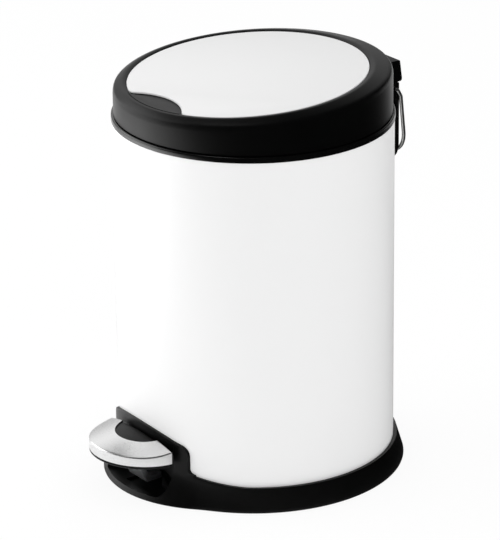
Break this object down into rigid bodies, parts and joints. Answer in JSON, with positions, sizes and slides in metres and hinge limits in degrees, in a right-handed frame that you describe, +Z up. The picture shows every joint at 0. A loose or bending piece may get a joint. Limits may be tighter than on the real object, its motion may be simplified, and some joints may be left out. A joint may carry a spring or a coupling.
{
  "type": "step trash can",
  "caption": "Small round step trash can: white painted steel tube on a flared black base, black lid with a white inset top, steel foot pedal, inner bucket and wire carrying handle.",
  "frame": {"origin": "centre of the base's underside, on the floor it stands on", "axes": "+Z up, along the tube's axis; the pedal and the lid's finger notch face -Y; the lid hinge and the carrying handle are at +Y"},
  "size_m": [0.2154, 0.2518, 0.2997],
  "materials": {
    "white_paint": "satin",
    "white_panel": "satin",
    "black_plastic": "matte",
    "gloss_black_plastic": "gloss",
    "inner_plastic": "matte",
    "nylon": "satin",
    "rubber": "matte",
    "brushed_steel": "satin",
    "zinc_steel": "satin",
    "wire_steel": "polished"
  },
  "bodies": {
    "can": {"base": "black_plastic", "body_shell": "white_paint", "top_collar": "gloss_black_plastic", "foot_pad_1": "rubber", "foot_pad_2": "rubber", "foot_pad_3": "rubber", "foot_pad_4": "rubber", "mechanism_cover": "inner_plastic", "rod_bush": "nylon", "hinge_bracket": "black_plastic", "hinge_pin": "zinc_steel", "bracket_screw_1": "zinc_steel", "bracket_nut_1": "zinc_steel", "bracket_screw_2": "zinc_steel", "bracket_nut_2": "zinc_steel", "pivot_pin": "zinc_steel", "pivot_clip_left": "zinc_steel", "pivot_clip_right": "zinc_steel"},
    "lid": {"lid_cap": "black_plastic", "lid_panel": "white_panel", "lift_lug": "inner_plastic", "lug_screw_1": "zinc_steel", "lug_screw_2": "zinc_steel"},
    "pedal": {"pedal_lever": "zinc_steel", "pedal_pad": "black_plastic", "pedal_cap": "brushed_steel", "pedal_screw_1": "zinc_steel", "pedal_screw_2": "zinc_steel"},
    "rod": {"push_rod": "zinc_steel", "rod_washer_low": "zinc_steel", "rod_washer_high": "zinc_steel"},
    "bucket": {"inner_bucket": "inner_plastic"},
    "bail": {"bucket_bail": "wire_steel"},
    "handle": {"carry_handle": "wire_steel"}
  },
  "joints": [
    {"name": "lid_hinge", "type": "hinge", "parent": "can", "child": "lid", "pos_m": [0, 0.1042, 0.2775], "axis": [-1, 0, 0], "range_deg": [0, 75]},
    {"name": "pedal_pivot", "type": "hinge", "parent": "can", "child": "pedal", "pos_m": [0, -0.04, 0.0169], "axis": [1, 0, 0], "range_deg": [0, 6.55]},
    {"name": "push_rod_slide", "type": "slide", "parent": "can", "child": "rod", "axis": [0, 0, 1], "range_m": [0, 0.0149]},
    {"name": "bucket_lift", "type": "slide", "parent": "can", "child": "bucket", "axis": [0, 0, 1], "range_m": [0, 0.005]},
    {"name": "bucket_bail_swing", "type": "hinge", "parent": "bucket", "child": "bail", "pos_m": [0, 0, 0.2508], "axis": [-1, 0, 0], "range_deg": [0, 8]},
    {"name": "carry_handle_swing", "type": "hinge", "parent": "can", "child": "handle", "pos_m": [0, 0.1045, 0.2658], "axis": [1, 0, 0], "range_deg": [0, 95]}
  ],
  "couplings": [
    {"joint": "pedal_pivot", "follows": "lid_hinge", "ratio": 0.08667},
    {"joint": "push_rod_slide", "follows": "lid_hinge", "m_per_rad": 0.011346}
  ]
}
